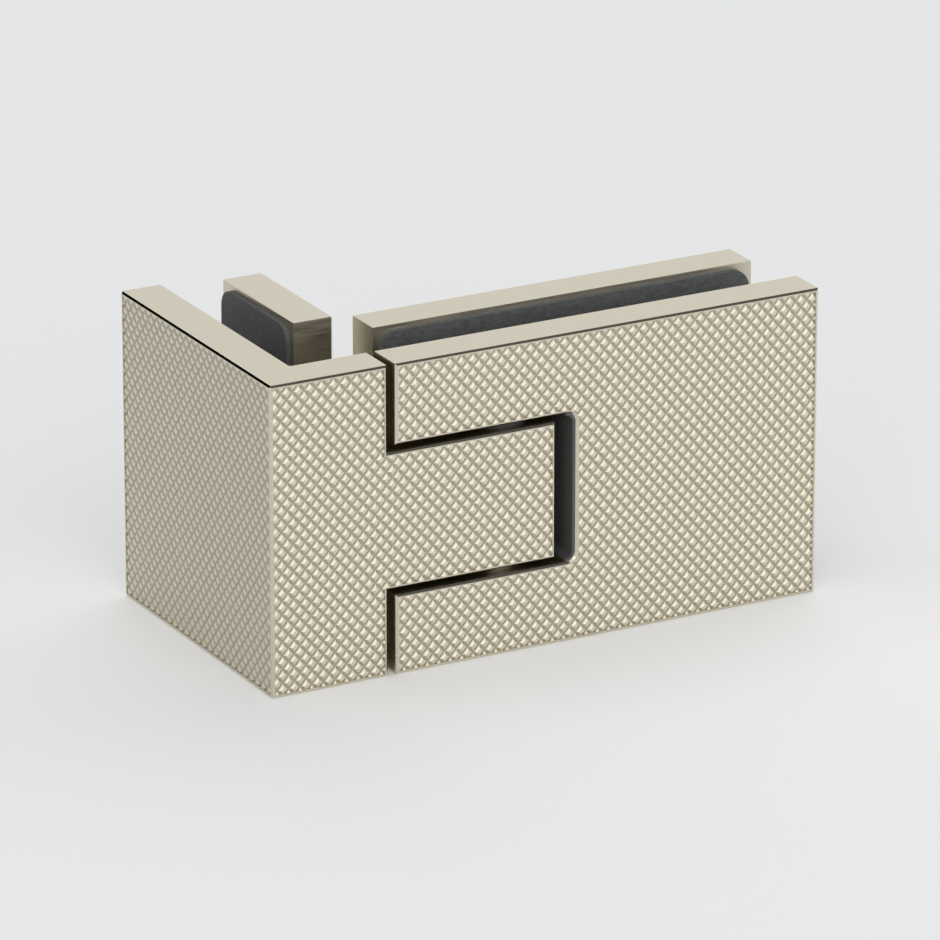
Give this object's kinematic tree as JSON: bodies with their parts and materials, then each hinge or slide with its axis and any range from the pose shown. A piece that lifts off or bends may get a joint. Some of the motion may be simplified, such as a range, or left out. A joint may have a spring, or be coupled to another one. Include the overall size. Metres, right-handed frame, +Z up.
{
  "type": "lift hinge",
  "caption": "Right-angle glass-to-glass door hinge: knurled corner body with a tongue, recessed door leaf, clamp plates, and helical cams that raise the leaf as it opens.",
  "frame": {"origin": "centre of the hinge's rectangular footprint, on the plane of its lower edges", "axes": "+X along the closed door leaf from the corner to the free end, +Y from the outside to the inside across the door pane, +Z up the pivot axis"},
  "size_m": [0.095, 0.05, 0.05],
  "materials": {
    "satin_metal": "satin champagne plating on brass",
    "block_metal": "plain machined brass, plated",
    "screw_steel": "stainless steel",
    "gasket_rubber": "matt grey gasket sheet",
    "nylon": "natural nylon",
    "cam_plastic": "black acetal"
  },
  "bodies": {
    "side_bracket": {"corner_body": "satin_metal", "side_outer_gasket": "gasket_rubber", "side_inner_gasket": "gasket_rubber", "side_clamp_plate": "satin_metal", "side_clamp_screws": "screw_steel", "side_screw_sleeves": "nylon", "lower_bush": "nylon", "upper_bush": "nylon", "fixed_lift_cam": "cam_plastic", "cam_grub_screw": "screw_steel"},
    "pivot": {"pivot_pin": "screw_steel"},
    "door_leaf": {"leaf_body": "satin_metal", "recess_liner": "gasket_rubber", "leaf_lift_cam": "cam_plastic", "upper_bearing_block": "block_metal", "lower_bearing_block": "block_metal", "bearing_block_screws": "screw_steel", "door_outer_gasket": "gasket_rubber", "door_inner_gasket": "gasket_rubber", "door_clamp_plate": "satin_metal", "door_clamp_screws": "screw_steel", "door_screw_sleeves": "nylon"}
  },
  "joints": [
    {"name": "leaf_swing", "type": "hinge", "parent": "side_bracket", "child": "pivot", "pos_m": [-0.006, -0.0188, 0.025], "axis": [0, 0, -1], "range_deg": [0, 110]},
    {"name": "leaf_lift", "type": "slide", "parent": "pivot", "child": "door_leaf", "axis": [0, 0, 1], "range_m": [0, 0.0008]}
  ],
  "couplings": [
    {"joint": "leaf_lift", "follows": "leaf_swing", "m_per_rad": 0.00041669}
  ]
}
